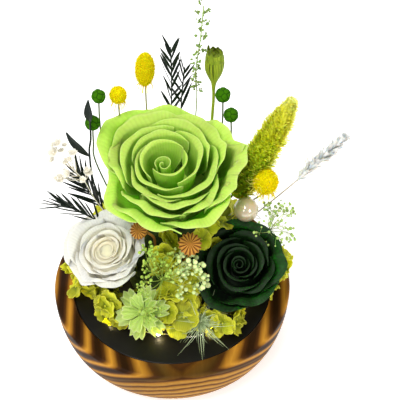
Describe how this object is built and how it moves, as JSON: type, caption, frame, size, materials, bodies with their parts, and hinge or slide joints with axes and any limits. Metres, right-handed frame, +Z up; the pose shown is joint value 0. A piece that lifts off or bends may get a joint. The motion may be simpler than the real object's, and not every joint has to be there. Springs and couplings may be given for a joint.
{
  "type": "preserved flower arrangement",
  "caption": "Preserved roses, hydrangea, dried heads and grasses in a foam mound on a black plate let into a round wooden base, ringed by a wire of tiny lights.",
  "frame": {"origin": "centre of the base's flat foot, on the battery cover's underside", "axes": "+Z up, -Y to the front that the flowers face, +X to the right seen from the front"},
  "size_m": [0.1531, 0.124, 0.1727],
  "materials": {
    "wood": "scorched and brushed pine with strong dark and light growth rings",
    "plate_black": "black, slightly glossy",
    "foam_green": "matt floral foam under a thin layer of moss",
    "plastic_black": "moulded, fine grain",
    "cell_steel": "plain steel can",
    "wire_silver": "bright thin wire with clear resin beads",
    "rose_green": "preserved petal, satin, bright thin edges",
    "rose_white": "preserved petal, satin, cream heart",
    "rose_dark": "preserved petal, velvety, near black green",
    "calyx_green": "matt",
    "hydrangea_lime": "preserved petal, veined, translucent yellow green",
    "poppy_brown": "dry seed head, tan with brown rays",
    "pearl_cream": "pearly lacquer",
    "fluff_yellow": "fluffy, dyed yellow",
    "tail_olive": "soft hairy grass head, yellow to olive",
    "ball_green": "fine matt nap, dyed green",
    "pod_green": "ribbed pod, satin",
    "leaf_dark": "preserved leaf, dark green, satin",
    "mist_lime": "tiny pale green buds, matt",
    "bleached": "bleached dry flower and grass, matt",
    "star_mint": "pleated pale green petal, satin",
    "air_plant": "grey green leaf with a fine bloom"
  },
  "bodies": {
    "root": {"air_plant": "air_plant", "battery_cell_1": "cell_steel", "battery_cell_2": "cell_steel", "battery_cover": "plastic_black", "battery_holder": "plastic_black", "black_plate": "plate_black", "dark_rose": "rose_dark", "dark_rose_calyx": "calyx_green", "floral_foam": "foam_green", "foxtail_grass": "tail_olive", "green_ball_1": "ball_green", "green_ball_2": "ball_green", "green_ball_3": "ball_green", "green_ball_4": "ball_green", "green_rose": "rose_green", "green_rose_calyx": "calyx_green", "hydrangea_back": "hydrangea_lime", "hydrangea_back_left": "hydrangea_lime", "hydrangea_back_right": "hydrangea_lime", "hydrangea_front": "hydrangea_lime", "hydrangea_front_left": "hydrangea_lime", "hydrangea_front_right": "hydrangea_lime", "hydrangea_left": "hydrangea_lime", "hydrangea_right": "hydrangea_lime", "hydrangea_upper_front": "hydrangea_lime", "hydrangea_upper_left": "hydrangea_lime", "hydrangea_upper_right": "hydrangea_lime", "light_wire": "wire_silver", "long_dark_leaves": "leaf_dark", "mist_spike": "mist_lime", "mist_spray_front": "mist_lime", "mist_spray_right": "mist_lime", "needle_spray_back": "leaf_dark", "needle_spray_back_right": "leaf_dark", "needle_spray_left": "leaf_dark", "needle_spray_left_up": "leaf_dark", "pearl": "pearl_cream", "poppy_head_left": "poppy_brown", "poppy_head_middle": "poppy_brown", "seed_pod": "pod_green", "star_flower": "star_mint", "white_plume": "bleached", "white_rose": "rose_white", "white_rose_calyx": "calyx_green", "white_spray": "bleached", "wooden_base": "wood", "yellow_head_left": "fluff_yellow", "yellow_head_right": "fluff_yellow", "yellow_head_tall": "fluff_yellow"}
  },
  "joints": []
}
